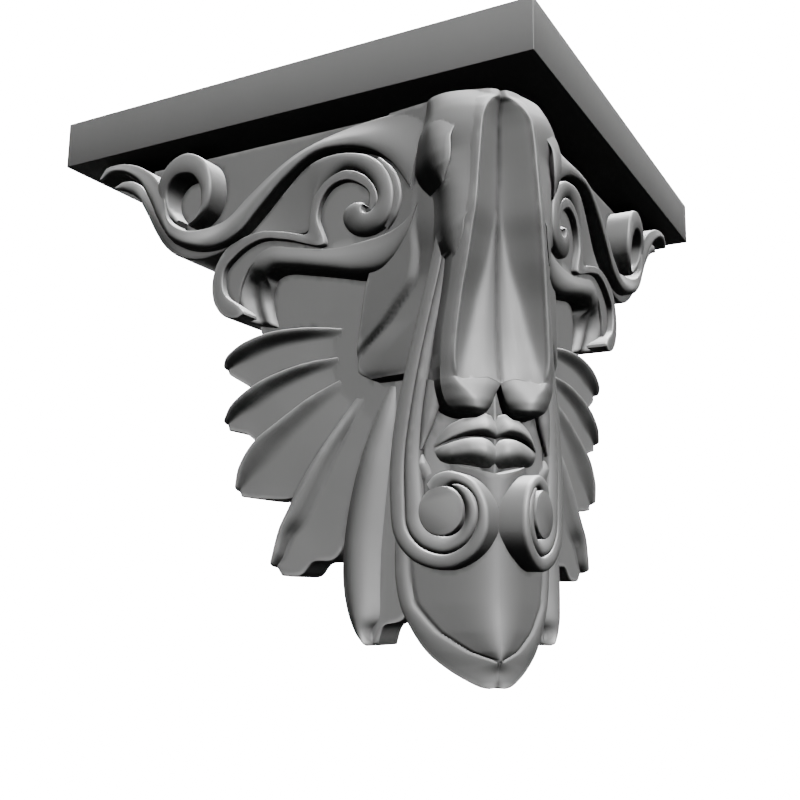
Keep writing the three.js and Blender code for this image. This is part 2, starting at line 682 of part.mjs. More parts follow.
const bracket = new THREE.Group();
bracket.add(topSlab, carvedBracket);
bracket.position.set(FIX_ALONG, -BACK, FIX_DOWN);

export default bracket;
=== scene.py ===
"""Carved corner bracket: the finished looks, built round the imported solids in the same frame."""

import math

import bmesh
import bpy
import numpy as np
from mathutils import Matrix, Vector


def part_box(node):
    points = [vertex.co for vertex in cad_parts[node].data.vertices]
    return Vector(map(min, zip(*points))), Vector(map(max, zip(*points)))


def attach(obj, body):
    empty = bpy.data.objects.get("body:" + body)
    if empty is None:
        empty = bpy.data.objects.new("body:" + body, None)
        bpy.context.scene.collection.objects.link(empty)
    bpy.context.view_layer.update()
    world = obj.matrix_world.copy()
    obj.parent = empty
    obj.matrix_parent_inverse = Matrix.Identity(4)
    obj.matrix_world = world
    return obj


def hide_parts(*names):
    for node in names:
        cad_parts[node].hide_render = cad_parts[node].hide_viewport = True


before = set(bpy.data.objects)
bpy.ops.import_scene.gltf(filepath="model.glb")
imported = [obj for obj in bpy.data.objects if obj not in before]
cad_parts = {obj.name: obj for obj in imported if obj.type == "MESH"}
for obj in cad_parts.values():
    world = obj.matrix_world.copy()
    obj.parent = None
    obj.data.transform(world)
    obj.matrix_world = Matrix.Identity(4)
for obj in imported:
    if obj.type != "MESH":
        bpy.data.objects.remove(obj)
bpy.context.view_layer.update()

MM = 0.001

# Driving dimensions in millimetres. In the carving's own measure s runs along a wing away from the
# slab's front corner, d runs back from the slab's face and z runs up from the slab's underside. The frame's
# origin lies on a wing's back, FIX_ALONG from that corner and FIX_DOWN below the slab. The beds are the
# depths at which the members end inside the carving.
SLAB_ARRIS = 0.3
JOINT_GAP = 0.3
BACK = 50
INNER_BED = 46
CORNER_BED = 62
CORNER_BED_FLARE = 45
FIX_ALONG = 110
FIX_DOWN = 60

# Depths of the carving's main levels behind the slab's face.
GROUND = 25
PLINTH = 21.5
RIBBON_FACE = 21
LEAF_FLOOR = 24.5
FAN_GROUND = 37
STRAP_FACE = 16

# Scroll sizes: the volute at the strap's foot and the ring on the upper scroll. Rows of the volute's turn
# are the angle and the radii of the band's outer edge, the groove and the bead's inner edge, and its end
# has the band's two edges only. Rows of the ring's turn are the angle, two radii and the depth.
VOLUTE = {"s": 48.5, "z": -181.5, "disc": 10.2, "disc_s": 48.7, "disc_z": -183.2}
VOLUTE_TURN = [
    (-8, 24.6, 17.5, 10), (30, 25, 18.3, 10.3), (60, 25.4, 18.9, 11.2), (95, 25.5, 19.3, 12.4),
    (125, 24.6, 18.5, 12.4), (150, 22.8, 17.3, 11.3), (172, 20.8, 16.2, 10), (190, 19.4, 15.1, 9.2),
    (211, 17.8, 13.3, 8.8), (229, 16.4, 11.6, 8.8), (244, 15.4, 10.1, 9.2),
]
VOLUTE_END = [(262, 14.8, 7), (285, 13.6, 5), (305, 12, 4)]
RING = {"s": 190.8, "z": -21}
RING_TURN = [
    (-62, 17, 14, 17.5), (-30, 17.5, 12.5, 15), (10, 18.7, 11.4, 13), (50, 19.2, 9.8, 11.6),
    (90, 19.6, 8.6, 11), (135, 18.6, 9.2, 11), (180, 17.4, 10.9, 11.6), (215, 18, 13.5, 12.8),
    (240, 18, 15.6, 14), (264, 17.8, 16.8, 15.5),
]

# Low relief in millimetres: eased edges, the chin's rim and field, the corner leaf's rims and flutes, and
# the middle line, which each half crosses a little so that the two halves join.
EDGE_EASE = 0.8
RIM_HEIGHT = 0.9
RIM_GROOVE = 0.6
RIM_RIDGE = 0.8
RIM_ROUND = 1.2
FIELD_TURN = 6.6
FLUTE_PARTING = 0.7
FLUTE_SOFT = 2.6
OVERLAP = -0.2

# Shares of a member's width: the most that an eased edge takes at each side, the quills of the feathers,
# the corner leaf's rim, the groove beside the chin's rim and the end of the field, the line of the fold and
# how far its two sides reach.
EDGE_SHARES = (0.4, 0.3)
QUILL = 0.34
BROAD_QUILL = 0.58
RIM_AT = 0.36
RIM_GROOVE_WIDTH = 0.035
FIELD_END = 1.001
FOLD_LINE = [0.48, 0.48, 0.48, 0.48, 0.6, 0.63, 0.345, 0.05, -0.05, -0.1]
FOLD_STEEP = 0.09
FOLD_LONG = 0.4

# Powers that make a curve fuller, below 1, or leaner, above 1.
FLAT_TOP = 0.5
EDGE_TURN = 0.5
LOW_CREST = 1.7
BEAD_FULL = 0.8
RIM_FULL = 0.7
LOBE_FULL = 0.8
FIELD_SPREAD = 1.5
FIELD_CORNER = 7
FOLD_LEAN = 1.2

# How much higher than the swell of their stations the quills stand, and how much deeper the fold lies.
QUILL_HEIGHT = 1.3
VANE_HEIGHT = 0.35
UPRIGHT_HEIGHT = 1.8
ROUND_HEIGHT = 1.9
FOLD_DEPTH = 1.2

# Chin in millimetres: the height of its tip, the depth of its bed there, and the height from which it is
# full.
CHIN_TIP = -253.3
CHIN_THIN = 34
CHIN_FULL_FROM = -226

# Corner leaf in millimetres: the heights between which its rims fade in below the slab and out at the foot,
# and the foot's upper edge, which waves up and down across its width.
RIDGE_HEAD = (4, 16)
RIDGE_FOOT = (-130, -125)
FOOT_TOP = -129.4
FOOT_WAVE_AT = [0, 6, 12, 17, 20, 23]
FOOT_WAVE = [-0.8, 1.1, 0.5, -0.3, 0.6, 0]
FOOT_WAVE_REACH = 4

# Least lengths that still count, in millimetres, and the metres within which points are one.
LEAST_STEP = 1e-4
LEAST_WIDTH = 1e-6
MERGE = 1e-7

# Degrees from which a turn of the surface is a hard edge.
CARVED_EDGE = 35
SLAB_EDGE = 60

# Cell in which the ridges and hollows for the paint's painted highlight and painted shade are weighed,
# the empty cells round the carving, and the longest edge of a face that shows them.
RELIEF_CELL = 1.2
RELIEF_MARGIN = 4
RELIEF_REACH = 6

# Paint: its patches and brush marks in millimetres, its roughness, and how sharp a ridge has to be to
# get a painted highlight, or a hollow to get painted shade.
PATCH = 45
STROKE = 0.9
STROKE_STRETCH = (1.0, 1.0, 0.12)
STROKE_DEPTH = 0.2
STROKE_STRENGTH = 0.08
SATIN = (0.46, 0.58)
PAINTED_HIGHLIGHT_BENDS = (0.18, 0.7)
PAINTED_SHADE_BENDS = (-0.12, -0.6)


# Sections across a member: q goes from its first edge to its second, swell is its height there.

def flat(q, swell, t):
    return 0 * q * swell


def roll(q, swell, t):
    return swell * np.sin(np.pi * q)


def fuller(q, swell, power):
    """Roll whose top is the flatter, the smaller the power."""
    return swell * np.sin(np.pi * q) ** power


def plump(q, swell, t):
    """Nearly flat top between two rounded edges."""
    return fuller(q, swell, FLAT_TOP)


def turned_edge(q, swell, t):
    """Leaf that turns away towards its first edge."""
    return roll(q ** EDGE_TURN, swell, t)


def low_crest(q, swell, t):
    """Roll with its crest nearer its second edge."""
    return roll(q ** LOW_CREST, swell, t)


def bead_roll(q, swell, t):
    """Bead that stands fuller towards its first edge."""
    return fuller(q ** BEAD_FULL, swell, BEAD_FULL)


def rounded_under(q, swell, t):
    """Level at first, then rounded down to the second edge; with a negative swell, a hollow between two
    ridges."""
    level = 0.35
    nearly_round = 0.98
    ridge_at = 0.15
    ripple = 0.65
    turn = np.maximum(q - level, 0) / (1 - level)
    under = -swell * (1 - np.sqrt(1 - nearly_round * turn * turn))
    ridges = np.abs(swell) * np.cos(2 * np.pi * (q - ridge_at) / ripple)
    return np.where(swell > 0, under, ridges)


def feather(q, swell, t):
    """Quill that stands full at the first edge and falls away into a vane that rises a little again."""
    quill = 0.5 + 0.5 * np.cos(np.pi * np.minimum(q / QUILL, 1))
    vane = np.maximum(q - QUILL, 0) / (1 - QUILL)
    return swell * (QUILL_HEIGHT * quill + VANE_HEIGHT * vane)


def upright_feather(q, swell, t):
    """Rounded quill along the first edge, then a level vane."""
    return roll(np.minimum(q / QUILL, 1), UPRIGHT_HEIGHT * swell, t)


def round_feather(q, swell, t):
    """Broad quill with a narrow level flank beside it."""
    return roll(np.minimum(q / BROAD_QUILL, 1), ROUND_HEIGHT * swell, t)


def rimmed(q, share, t):
    """Raised rim with a groove beside it, then a field that turns into the corner; the swell is the share
    of the width that the rim takes."""
    rim = fuller(np.minimum(q / share, 1), RIM_HEIGHT, RIM_FULL)
    groove = RIM_GROOVE * np.exp(-((q - share) / RIM_GROOVE_WIDTH) ** 2)
    field = np.maximum(q - share, 0) / (FIELD_END - share)
    turn = FIELD_TURN * (1 - share) ** FIELD_SPREAD * (q - field ** FIELD_CORNER)
    return rim + turn - groove


def crease(q, depth, t):
    """Valley along the fold, short on its upper side and long on the side of the folded sheet."""
    beside = q - spline(np.reshape(FOLD_LINE, (-1, 1)), t[:, 0])
    away = np.where(beside < 0, -beside / FOLD_STEEP, beside / FOLD_LONG)
    return -FOLD_DEPTH * depth * np.clip(1 - away, 0, 1) ** FOLD_LEAN


# Curves and beds.

def spline(points, t):
    """Smooth curve through the points; t from 0 to 1 passes them at equal steps."""
    points = np.asarray(points, float)
    ends = [2 * points[0] - points[1], 2 * points[-1] - points[-2]]
    padded = np.vstack([ends[0], points, ends[1]])
    place = np.clip(t, 0, 1) * (len(points) - 1)
    first = np.minimum(place.astype(int), len(points) - 2)
    local = (place - first)[..., None]
    p0, p1, p2, p3 = (padded[first + k] for k in range(4))

    def knot(a, b):
        return np.maximum(np.sum((a - b) ** 2, axis=-1, keepdims=True) ** 0.25, LEAST_STEP)

    k0, k1, k2 = knot(p0, p1), knot(p1, p2), knot(p2, p3)
    tangent1 = ((p1 - p0) / k0 - (p2 - p0) / (k0 + k1) + (p2 - p1) / k1) * k1
    tangent2 = ((p2 - p1) / k1 - (p3 - p1) / (k1 + k2) + (p3 - p2) / k2) * k1
    cubic = 2 * p1 - 2 * p2 + tangent1 + tangent2
    square = -3 * p1 + 3 * p2 - 2 * tangent1 - tangent2
    return ((cubic * local + square) * local + tangent1) * local + p1


def between(values, t):
    """Straight lines through values at equal steps of t from 0 to 1."""
    return np.interp(t * (len(values) - 1), range(len(values)), values)


def smoothstep(x, low, high):
    part = np.clip((x - low) / (high - low), 0, 1)
    return part * part * (3 - 2 * part)


def lerp(a, b, part):
    return a + (b - a) * part


def wing_bed(s, z):
    return 0 * s + BACK


def inner_bed(s, z):
    return 0 * s + INNER_BED


def corner_bed(u, z):
    return np.maximum(CORNER_BED, u + CORNER_BED_FLARE)


def chin_bed(s, z):
    return lerp(CHIN_THIN, BACK, smoothstep(z, CHIN_TIP, CHIN_FULL_FROM))


def on_wing(s, d, z):
    return np.stack([FIX_ALONG - s, d - BACK, z + FIX_DOWN], axis=-1) * MM


def on_corner(u, v, z):
    return on_wing((v + u) / math.sqrt(2), (v - u) / math.sqrt(2), z)


# Solids.

def mesh_object(name, vertices, faces):
    mesh = bpy.data.meshes.new(name)
    mesh.from_pydata([tuple(v) for v in vertices], [], faces)
    work = bmesh.new()
    work.from_mesh(mesh)
    bmesh.ops.remove_doubles(work, verts=work.verts, dist=MERGE)
    bmesh.ops.recalc_face_normals(work, faces=work.faces)
    work.to_mesh(mesh)
    work.free()
    piece = bpy.data.objects.new(name, mesh)
    bpy.context.scene.collection.objects.link(piece)
    return piece


def closed_grid(name, front, bed_first, bed_second):
    """Closes a grid of front points with walls and a flat bed; the bed has the grid's two edges only."""
    rows, columns = front.shape[:2]
    vertices = np.concatenate([front.reshape(-1, 3), bed_first, bed_second])
    bed = rows * columns
    faces = []
    for i in range(rows - 1):
        for j in range(columns - 1):
            a = i * columns + j
            faces.append((a, a + 1, a + columns + 1, a + columns))
        low, high = bed + i, bed + rows + i
        near, far = i * columns, i * columns + columns - 1
        faces.append((low, low + 1, high + 1, high))
        faces.append((near, near + columns, low + 1, low))
        faces.append((far, far + columns, high + 1, high))
    for row in (0, rows - 1):
        line = [row * columns + j for j in range(columns)]
        faces.append(tuple(line + [bed + rows + row, bed + row]))
    return mesh_object(name, vertices, faces)


def eased(across, width):
    """Places across a member, closer together at its two rounded edges."""
    edge = np.array([0, 0.08, 0.3, 0.6])
    inner = np.linspace(0, 1, across)
    share = EDGE_EASE / np.maximum(width, LEAST_WIDTH)
    near, far = (np.clip(share, 0, most)[:, None] for most in EDGE_SHARES)
    middle = near + inner[None, :] * (1 - near - far)
    return np.concatenate([edge * near, middle, 1 - edge[::-1] * far], axis=1)


def edge_drop(distance, ease):
    """How far a rounded edge falls away at a distance from the edge line."""
    part = np.clip(1 - distance / ease, 0, 1)
    return ease * (1 - np.sqrt(1 - part * part))


def member(name, stations, section, along, across, bed=inner_bed, place=on_wing, end_ease=0, seam=False):
    """Carved member between two edges through its stations, each written as
    [first edge along, up, depth, second edge along, up, depth, swell]; a seam is a second edge that
    meets its twin and so isn't rounded."""
    stations = np.asarray(stations, float)
    t = np.linspace(0, 1, along + 1)
    first = spline(stations[:, 0:3], t)
    second = spline(stations[:, 3:6], t)
    width = np.linalg.norm((first - second)[:, :2], axis=1)
    q = eased(across, width)
    points = first[:, None] + (second - first)[:, None] * q[..., None]
    swell = between(stations[:, 6], t)[:, None]
    depth = points[..., 2] - section(q, swell, t[:, None]) + edge_drop(q * width[:, None], EDGE_EASE)
    if not seam:
        depth = depth + edge_drop((1 - q) * width[:, None], EDGE_EASE)
    if end_ease:
        middle = (first + second) / 2
        steps = np.linalg.norm(np.diff(middle[:, :2], axis=0), axis=1)
        left = np.concatenate([np.cumsum(steps[::-1])[::-1], [0]])
        depth = depth + edge_drop(left[:, None], end_ease)
    front = place(points[..., 0], depth, points[..., 1])
    bed_first = place(first[:, 0], bed(first[:, 0], first[:, 1]), first[:, 1])
    bed_second = place(second[:, 0], bed(second[:, 0], second[:, 1]), second[:, 1])
    return closed_grid(name, front, bed_first, bed_second)


def joined(name, pieces):
    """One solid from overlapping ones."""
    base = pieces[0]
    for piece in pieces[1:]:
        cut = base.modifiers.new(piece.name, "BOOLEAN")
        cut.operation = "UNION"
        cut.solver = "MANIFOLD"
        cut.object = piece
    return settled(name, base, pieces)


def settled(name, base, used):
    """Plain mesh object from an object with live modifiers; the objects that went into it are removed."""
    evaluated = base.evaluated_get(bpy.context.evaluated_depsgraph_get())
    mesh = bpy.data.meshes.new_from_object(evaluated)
    result = bpy.data.objects.new(name, mesh)
    bpy.context.scene.collection.objects.link(result)
    for piece in used:
        bpy.data.objects.remove(piece)
    return result


def mirrored(name, piece):
    """Twin of a half, reflected in the slab's diagonal."""
    mesh = piece.data.copy()
    corner = Vector(((FIX_ALONG - BACK) * MM, 0, 0))
    swap = Matrix(((0, -1, 0, 0), (-1, 0, 0, 0), (0, 0, 1, 0), (0, 0, 0, 1)))
    mesh.transform(Matrix.Translation(corner) @ swap @ Matrix.Translation(-corner))
    mesh.flip_normals()
    twin = bpy.data.objects.new(name, mesh)
    bpy.context.scene.collection.objects.link(twin)
    return twin


# Members of one wing.

def spandrel():
    """Flat ground under the slab, behind the scroll and the ribbon."""
    rows = [(42, -62), (70, -52), (100, -32), (132, -27), (168, -46), (194, -46), (210, -28), (222, -11)]
    stations = [[s, 1, GROUND, s, z, GROUND, 0] for s, z in rows]
    return member("spandrel", stations, flat, 60, 12, wing_bed)


def scroll_plinth():
    """Step below the long scroll, along its lower edge from its far tip."""
    stations = [
        [239.5, -9.6, 14.5, 239, -10.8, 14.5, 0.2],
        [233.5, -7.8, 14.2, 231, -13.8, 14.5, 1],
        [225, -9.5, 14.5, 222.8, -19, 15, 1.2],
        [216, -17.5, 16, 217, -28.5, 16.5, 1.2],
        [207, -27, 18, 213.5, -36.5, 18.5, 1],
        [198, -38, 20, 208.5, -44.5, 20.5, 0.8],
        [190, -43, PLINTH, 200, -51, PLINTH, 0.5],
        [180, -45, PLINTH, 185, -55, PLINTH, 0.5],
        [170, -44, PLINTH, 171, -53, PLINTH, 0.5],
        [160, -40, PLINTH, 160, -47, PLINTH, 0.5],
    ]
    return member("scroll_plinth", stations, roll, 70, 8, wing_bed)


def long_scroll():
    """Scroll that runs below the slab from its far tip to the corner leaf."""
    stations = [
        [245.2, -5, 9.5, 244.8, -7, 9.8, 0.2],
        [241.5, -1, 9.2, 238.4, -5, 9.8, 0.8],
        [234.7, 0, 9.2, 233.5, -4.8, 9.8, 1.2],
        [225, -1.3, 9.8, 225.5, -7.4, 10.4, 1.4],
        [216, -5.3, 11.2, 218.4, -13.2, 11.8, 1.4],
        [209.5, -11, 12.8, 212.9, -23, 13.6, 1.3],
        [204.5, -20, 13.4, 206.8, -35, 14.6, 1.2],
        [200.8, -34, 13.4, 198, -46, 15.5, 1.2],
        [190, -41, 15, 186, -51, 15.8, 1.8],
        [174, -37, 22.5, 172, -51.8, 16, 2.6],
        [160, -25, GROUND, 158, -47, 16, 3],
        [147, -16, GROUND, 147, -37, 16, 3],
        [133, -8.5, GROUND, 132, -24, 16, 3],
        [118, -4, GROUND, 116, -15.3, 16, 3],
        [103, -2, 24, 102, -14.6, 16.2, 2.6],
        [88, -1, 23, 87, -18.3, 16.8, 2.4],
        [72, -1, 22, 76, -26, 18, 2],
        [58, -2, 21, 66, -40, 19, 1.5],
    ]
    return member("long_scroll", stations, low_crest, 130, 15, wing_bed)


def ring_curl():
    """Each row is an angle from the wing's far side over the top, with the ring's outer and inner radius
    and the depth of its crest there."""
    outer_drop, inner_drop, swell = 0.8, 0.2, 0.8
    stations = []
    for degrees, outer, inner, depth in RING_TURN:
        along, up = math.cos(math.radians(degrees)), math.sin(math.radians(degrees))
        first = [RING["s"] + outer * along, RING["z"] + outer * up, depth + outer_drop]
        second = [RING["s"] + inner * along, RING["z"] + inner * up, depth + inner_drop]
        stations.append(first + second + [swell])
    return member("ring_curl", stations, roll, 80, 9)


def ribbon():
    """Flat ribbon that hooks round at its far end and winds round the spiral roll."""
    stations = [[s1, z1, RIBBON_FACE, s2, z2, RIBBON_FACE, 0] for s1, z1, s2, z2 in [
        (156.8, -86.4, 157, -85),
        (161, -88.2, 158.5, -83.3),
        (169, -86, 162.5, -80),
        (175.3, -78.5, 168.3, -75.5),
        (177, -68, 170.5, -68.5),
        (174.5, -59, 169.5, -62.5),
        (168.5, -51.5, 163.5, -56.8),
        (158, -47.4, 156, -52.6),
        (147.8, -46.3, 147, -50.6),
        (134, -48.8, 133, -53.2),
        (123, -51.8, 114, -58.8),
        (121.4, -51, 112, -57.8),
        (121, -44, 116.3, -44.5),
        (118.5, -34.5, 114.5, -36.5),
        (110.5, -26, 109.3, -30.7),
        (101, -24, 101.5, -29),
        (91, -28.5, 93.5, -32.5),
        (85.3, -36, 89, -37),
        (84, -42, 88.3, -41),
        (86.5, -46.5, 88.5, -44.5),
    ]]
    return member("ribbon", stations, flat, 150, 3)


def spiral_roll():
    """Roll that winds inwards to its eye."""
    stations = [
        [165, -48, 23, 163, -49.6, 22.4, 0],
        [150, -39, 24, 150, -47, 22.4, 0],
        [137, -28, 23, 133, -50.5, 22.4, 0],
        [123, -18, 21.5, 121.6, -50, 22.4, 0.2],
        [112, -15.5, 20.5, 117, -33, 22, 1],
        [100, -16, 20.5, 102, -24, 21.6, 1.5],
        [88, -20, 20.7, 92, -28, 21.6, 1.8],
        [79.5, -28, 21, 86, -35, 21.6, 2],
        [75.5, -38, 21, 84, -41, 21.4, 2],
        [76.5, -48, 21.3, 85.5, -45, 21, 2],
        [81, -54.5, 21.6, 88, -46.8, 20.7, 1.9],
        [90, -57.3, 22, 90, -47, 20.3, 1.7],
        [98, -55, 22.3, 91, -46.5, 20, 1.5],
        [102.7, -48.5, 22.6, 91.5, -45.5, 19.8, 1.4],
        [102.3, -43, 23, 91.6, -44.5, 19.7, 1.3],
        [98, -40.2, 23.4, 91.3, -43.5, 19.7, 1.1],
        [94, -40, 23.8, 90.5, -43, 20, 0.6],
    ]
    return member("spiral_roll", stations, plump, 130, 13)


def cheek():
    """Smooth ground beside the corner; below the slot a fold crosses it down to its lower corner."""
    stations = [
        [80, 1, 22.5, 48, 1, 19, 0],
        [79, -18, 22.8, 48, -20, 18.5, 0],
        [77, -36, 23, 48, -40, 18, 0],
        [79, -52, 23.4, 48, -56, 18.2, 0.6],
        [86, -66, 24.4, 48, -70, 19, 1.6],
        [91, -77, 25, 49, -80, 19.6, 2.2],
        [95, -98, 26, 53, -99, 20.5, 2.4],
        [97, -111, 27, 57, -112, 21, 1.6],
        [96.3, -119, 27.5, 58, -119, 21.2, 0.6],
        [90, -122.8, 27.6, 59, -122.6, 21.3, 0],
    ]
    return member("cheek", stations, crease, 84, 54, wing_bed)


def roll_border():
    """Lower band that follows the spiral roll on its right."""
    stations = [
        [84, -20.5, 22, 88, -24, 22, 0],
        [78.3, -25.8, 21.8, 83, -29, 21.8, 1],
        [74, -32, 21.8, 80, -34, 21.8, 1],
        [71.8, -41, 21.8, 78, -41, 21.8, 1],
        [74.3, -50.5, 22, 80, -48, 22, 1],
        [79, -56, 22.4, 83, -52, 22.4, 0],
    ]
    return member("roll_border", stations, plump, 44, 8)


def leaf_floor():
    """Ground behind the ribbon, the spiral and the slot."""
    rows = [
        (172, -66, -72), (168, -58, -78), (164, -55, -82), (161, -53, -70), (155, -51, -61), (140, -49, -60),
        (122, -46, -63), (104, -22, -66), (84, -26, -66), (62, -34, -62),
    ]
    stations = [[s, top, LEAF_FLOOR, s, foot, LEAF_FLOOR, 0] for s, top, foot in rows]
    return member("leaf_floor", stations, flat, 60, 10, wing_bed)


def leaf_body():
    """Roll above the slot that bends round the slot's end and runs down to the lower edge."""
    stations = [
        [161.5, -88, 29.5, 146.5, -91, 36.5, -0.9],
        [163.5, -82, 27.5, 149, -84.5, 36, -1.1],
        [164.5, -74, 25.5, 150.5, -77, 35, -1.1],
        [163.5, -67, 24.6, 149.5, -71, 32, -0.8],
        [158, -59, 24.6, 148, -66.5, 25, 1.5],
        [145, -53.5, 24.6, 142, -64.7, 21.8, 5],
        [130, -56, 24.6, 129, -66.8, 21, 6],
        [113, -59, 24.6, 111, -70.7, 20, 6],
        [100, -59, 24.6, 96, -74, 19.5, 6],
        [84, -58, 23.5, 84, -74, 20.3, 5],
        [75, -56, 22.3, 77, -70, 21, 3.5],
        [69, -53, 21.4, 71, -63, 21, 2],
        [65, -49, 20.9, 67, -56, 20.8, 0.8],
        [63, -46, 20.6, 64.5, -50, 20.6, 0.2],
    ]
    return member("leaf_body", stations[::-1], rounded_under, 100, 20, end_ease=2.5)


def fan_ground():
    """Ground behind the feathers."""
    rows = [
        (158, -66, -91), (150, -60, -110), (140, -60, -130), (128, -62, -148),
        (112, -64, -165), (96, -66, -200), (80, -66, -226), (58, -66, -232),
    ]
    stations = [[s, top, FAN_GROUND, s, foot, FAN_GROUND, 0] for s, top, foot in rows]
    return member("fan_ground", stations, flat, 50, 24, wing_bed)


def feathers():
    """Fan of feathers; each has its section and its depths, the line of its quill edge, and the line of its
    under edge, which the next feather's quill covers as far as the notch beside the tip."""
    level = [37.2, 35.8, 34.8, 34.4, 34.4]
    forward = [37.2, 35.6, 34, 32.6, 31.6]
    under_drop = 0.3
    swells = [0.4, 2.6, 3.3, 3.3, 2.2]
    fan = [
        (feather, level,
         [(110.9, -94.8), (130, -93), (150, -93.8), (165, -98), (174, -104), (176.3, -109)],
         [(112, -108), (128, -112.5), (143, -117), (156, -121), (166, -116.5), (175, -111.5)]),
        (feather, level,
         [(112.9, -108.4), (130, -110.5), (148, -115.5), (160, -121), (170, -128.3), (175, -136)],
         [(110, -121.5), (123, -128.5), (137, -137), (153.5, -147), (161, -142.8), (173.5, -139.8)]),
        (feather, level,
         [(111.9, -119.6), (126, -127), (142, -137.5), (156, -147.5), (163.5, -158.5), (166.3, -169)],
         [(101, -130.5), (110, -143), (119, -156), (131, -173), (148, -174.2), (164.5, -172.3)]),
        (upright_feather, forward,
         [(102.8, -128.7), (111, -139.5), (120, -151.5), (128, -163.5),
          (134.5, -176), (138.5, -186), (141, -196), (141.8, -204)],
         [(88, -132), (94.5, -150), (99, -168), (103, -188),
          (110, -202), (121, -203.5), (127, -209.3), (138, -209.4)]),
        (round_feather, forward,
         [(84.7, -124.5), (91, -137), (98, -155), (103, -175), (105.6, -197),
          (105, -213), (101.4, -226.3), (96.6, -234.7), (91.5, -238.8)],
         [(79, -126), (75, -145), (73, -165), (72, -185), (72, -202),
          (72, -215), (74.4, -227.5), (83, -230), (86.5, -238.6)]),
    ]
    made = []
    for number, (section, depths, quill, under) in enumerate(fan, 1):
        part = np.linspace(0, 1, len(quill))
        lines = zip(quill, under, between(depths, part), between(swells, part))
        stations = [[*high, depth, *low, depth + under_drop, swell] for high, low, depth, swell in lines]
        made.append(member(f"feather_{number}", stations, section, 56, 20, wing_bed, end_ease=2))
    return made


def strap():
    """Broad outer band with a bead beside it, both wound into the volute at the foot, and a flat strip
    inside them."""
    band_drop, band_swell = 1.2, 1.4
    bead_drop, disc_drop = 1.6, 2.6
    bead_swell, bead_rise = 2.2, 0.4
    band = [
        [51, -46, 19, 46, -47, 18, 0.4],
        [55, -74, 18.4, 49.5, -76, 17.4, 0.8],
        [60, -95, 18, 54, -96, 17.2, 1.2],
        [66, -120, 17.6, 59.5, -120, 17.2, 1.4],
        [70.5, -140, 17.4, 63.5, -141, 17.2, 1.4],
        [73, -160, 17.4, 66, -160, 17.2, 1.4],
    ]
    bead = [
        [46.4, -47, 18, 43, -47.5, 16.6, 0.6],
        [49.9, -76, 17.6, 45.4, -77, 16.6, 1.2],
        [54.4, -96, 17.6, 49.6, -96.5, 17, 1.8],
        [59.9, -120, 17.6, 54.4, -120, 17.4, 2.2],
        [63.9, -141, 17.6, 57.8, -141.5, 17.8, 2.2],
        [66.4, -160, 17.6, 59.5, -160, 18.2, 2.2],
    ]
    strip = [
        [43.4, -47.5, 16.8, 40, -48, 14, 0],
        [45.8, -77, 17, 41, -78, 15, 0],
        [50, -96.5, 17.4, 45, -97, 15.8, 0],
        [54.8, -120, 17.8, 49.5, -120, 16.8, 0],
        [58.2, -141.5, 18.2, 55.4, -142, 17.6, 0],
        [60, -157, 18.6, 59, -157, 18.2, 0],
    ]

    def at(degrees, radius, drop):
        turn = math.radians(degrees)
        along, down = radius * math.cos(turn), radius * math.sin(turn)
        return [VOLUTE["s"] + along, VOLUTE["z"] - down, STRAP_FACE + drop]

    for degrees, outer, groove, disc in VOLUTE_TURN:
        band.append(at(degrees, outer, band_drop) + at(degrees, groove, band_drop) + [band_swell])
        first = at(degrees, groove - OVERLAP, bead_drop)
        second = at(degrees, disc + 2 * OVERLAP, disc_drop)
        bead.append(first + second + [min(bead_swell, bead_rise * (groove - disc))])
    for degrees, outer, inner in VOLUTE_END:
        band.append(at(degrees, outer, band_drop) + at(degrees, inner, band_drop) + [band_swell])
    return [
        member("strap_band", band, plump, 160, 8),
        member("strap_bead", bead, bead_roll, 150, 10),
        member("strap_strip", strip, flat, 40, 4),
    ]


def volute_button():
    """Round disc in the middle of the volute, with an eased rim."""
    proud, chamfer, sides = 0.2, 0.25, 72
    radius = VOLUTE["disc"]
    face = STRAP_FACE - proud
    profile = [
        (radius - EDGE_EASE, face), (radius - chamfer, face + chamfer), (radius, face + EDGE_EASE),
        (radius, INNER_BED),
    ]
    turn = np.linspace(0, 2 * np.pi, sides, endpoint=False)
    along, up = np.cos(turn), np.sin(turn)
    rings = [on_wing(VOLUTE["disc_s"] + r * along, np.full(sides, d), VOLUTE["disc_z"] + r * up)
             for r, d in profile]
    faces = [tuple(range(sides)), tuple(range(sides * (len(rings) - 1), sides * len(rings)))]
    for level in range(len(rings) - 1):
        for i in range(sides):
            a, b = level * sides + i, level * sides + (i + 1) % sides
            faces.append((a, b, b + sides, a + sides))
    return mesh_object("volute_button", np.concatenate(rings), faces)


def chin():
    """Pointed chin; its swell is the share of the width that the rim takes."""
    stations = [
        [60, -160, 25, 28, -168, 28.4, 0.15],
        [72, -182, 24.2, 28, -185, 28.4, 0.15],
        [74, -205, 24, 28, -205, 28.4, 0.15],
        [71.3, -221, 24, 27.6, -220, 28, 0.17],
        [65.3, -232, 24, 26.8, -231, 27.2, 0.32],
        [58.5, -240, 24, 26.4, -238.5, 26.8, 0.6],
        [50, -246, 24.3, 26.8, -242.7, 27.2, 0.98],
        [41, -250.6, 25, 28.2, -246.5, 28.6, 0.98],
        [35.5, -252.8, 26, 28.6, -250, 29, 0.98],
        [32.3, CHIN_TIP, 27, 29.2, -252.4, 29.4, 0.98],
    ]
    return member("chin", stations, rimmed, 90, 60, chin_bed, seam=True)


def corner_post():
    """Ground behind the corner leaf and the face, running out under the strap."""
    strap_side, rise = 64, 5
    rows = [(38, -40, 36), (38, -105, 36), (31, -132, 31), (31, -175, 31)]
    stations = [[s, z, d, strap_side, z, d - rise, 0] for s, z, d in rows]
    return member("corner_post", stations, flat, 12, 2, wing_bed)


# Half of the corner: the tall leaf, the face under it and the lips.

